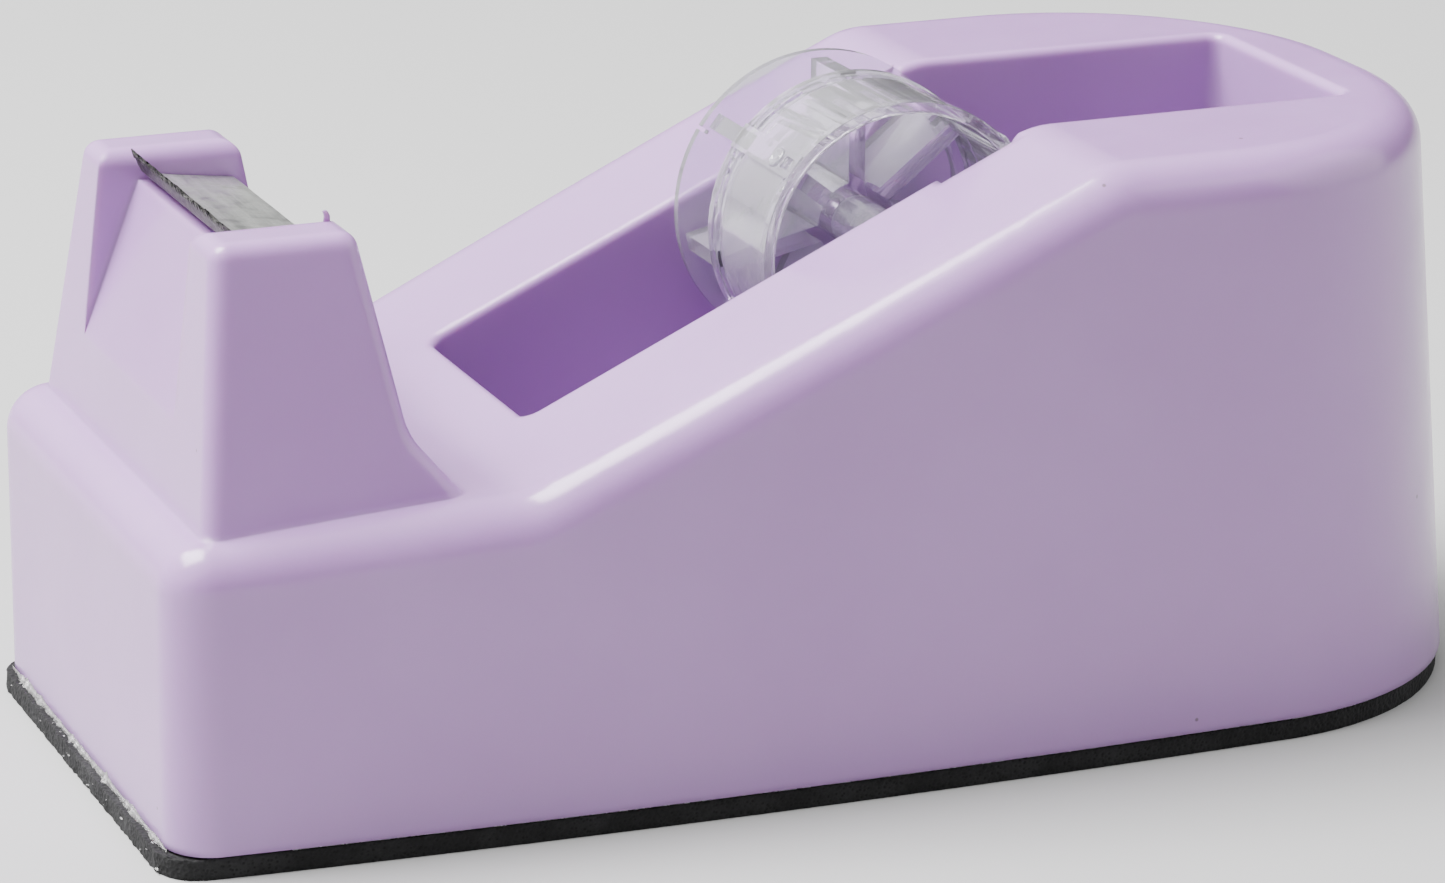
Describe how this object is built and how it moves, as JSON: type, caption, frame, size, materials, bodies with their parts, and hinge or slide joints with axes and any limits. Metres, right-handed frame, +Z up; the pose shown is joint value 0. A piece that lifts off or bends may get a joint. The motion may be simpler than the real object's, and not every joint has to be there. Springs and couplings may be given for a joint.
{
  "type": "tape dispenser",
  "caption": "Weighted desk tape dispenser: sloping moulded shell with a roll well, toothed blade between two ears, and a lift-out clear spool on an axle.",
  "frame": {"origin": "on the table under the middle of the object, at the underside of the foam pad", "axes": "+X from the blade end to the rounded end, +Y across toward the spool disc side, +Z up"},
  "size_m": [0.124, 0.0578, 0.0538],
  "materials": {
    "shell_plastic": "glossy moulded",
    "steel": "brushed sheet",
    "cast_weight": "rough cast",
    "cover_plastic": "matte",
    "clear_film": "clear",
    "foam": "matte foam",
    "clear_plastic": "clear glossy"
  },
  "bodies": {
    "housing": {"body_shell": "shell_plastic", "cutter_blade": "steel", "ballast_block": "cast_weight", "bottom_cover": "cover_plastic", "adhesive_film": "clear_film", "foam_pad": "foam"},
    "axle": {"axle_pin": "clear_plastic"},
    "spool": {"spool_barrel": "clear_plastic", "spool_wheel": "clear_plastic"}
  },
  "joints": [
    {"name": "spool_lift", "type": "slide", "parent": "housing", "child": "axle", "axis": [0.5, 0, 0.866], "range_m": [0, 0.04]},
    {"name": "spool_spin", "type": "hinge", "parent": "axle", "child": "spool", "pos_m": [0.0088, 0, 0.0407], "axis": [0, 1, 0], "continuous": true}
  ]
}
